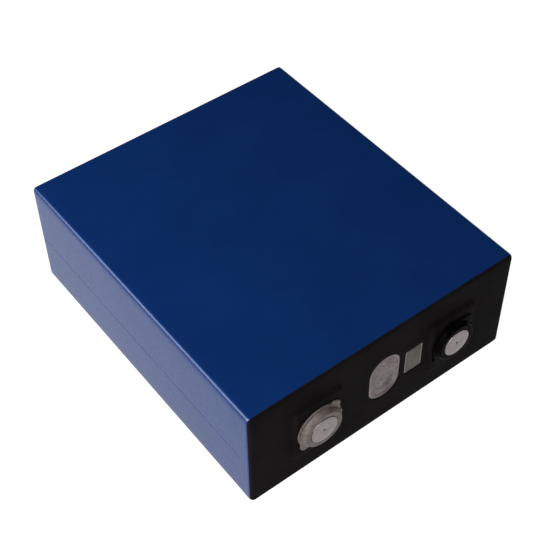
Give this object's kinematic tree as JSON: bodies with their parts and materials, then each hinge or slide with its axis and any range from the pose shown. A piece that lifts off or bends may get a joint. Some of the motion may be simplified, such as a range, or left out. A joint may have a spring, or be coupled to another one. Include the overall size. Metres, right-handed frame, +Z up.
{
  "type": "prismatic battery cell",
  "caption": "Flat rectangular rechargeable cell wrapped in blue film, lying on a wide face, with a black-covered lid that carries round terminals, an oval vent and a small window.",
  "frame": {"origin": "middle of the bottom of the whole cell's box, as it lies on one wide face", "axes": "+Z up through the cell's thickness, +X along its width, and the lid and terminals face -Y; the positive terminal is at -X"},
  "size_m": [0.174, 0.2072, 0.0717],
  "materials": {
    "blue_film": "satin blue polyester film",
    "black_sheet": "matte black plastic sheet",
    "lid_aluminium": "dull rolled aluminium",
    "can_aluminium": "drawn aluminium",
    "vent_aluminium": "thin pressed aluminium",
    "clear_film": "clear protective film",
    "pad_aluminium": "fine turned aluminium",
    "grey_ring_plastic": "grey-brown moulded plastic",
    "black_ring_plastic": "glossy black moulded plastic",
    "post_aluminium": "turned aluminium",
    "copper": "copper",
    "seal_rubber": "dense sealing rubber",
    "block_plastic": "black moulded plastic",
    "white_plastic": "natural white polypropylene",
    "foil_aluminium": "stacked foil",
    "foil_copper": "stacked copper foil",
    "electrode_stack": "wound coated foils and separator",
    "blue_tape": "thin adhesive tape",
    "green_tape": "thin adhesive tape",
    "bag_film": "clear plastic film"
  },
  "bodies": {
    "root": {"blue_film_wrap": "blue_film", "black_lid_cover": "black_sheet", "aluminium_can": "can_aluminium", "lid_plate": "lid_aluminium", "vent_disc": "vent_aluminium", "vent_film": "clear_film", "vent_guard": "white_plastic", "fill_plug": "seal_rubber", "fill_port_cap": "lid_aluminium", "positive_terminal_pad": "pad_aluminium", "negative_terminal_pad": "pad_aluminium", "positive_terminal_ring": "grey_ring_plastic", "negative_terminal_ring": "black_ring_plastic", "positive_terminal_post": "post_aluminium", "negative_terminal_post": "copper", "positive_base_block": "block_plastic", "negative_base_block": "block_plastic", "positive_gasket": "seal_rubber", "negative_gasket": "seal_rubber", "positive_lid_insulator": "white_plastic", "negative_lid_insulator": "white_plastic", "positive_collector": "post_aluminium", "negative_collector": "copper", "positive_tabs_a": "foil_aluminium", "positive_tabs_b": "foil_aluminium", "negative_tabs_a": "foil_copper", "negative_tabs_b": "foil_copper", "positive_weld_tape": "blue_tape", "negative_weld_tape": "blue_tape", "electrode_roll_a": "electrode_stack", "electrode_roll_b": "electrode_stack", "binding_tapes": "green_tape", "insulating_bag": "bag_film", "base_support_plate": "white_plastic"}
  },
  "joints": []
}
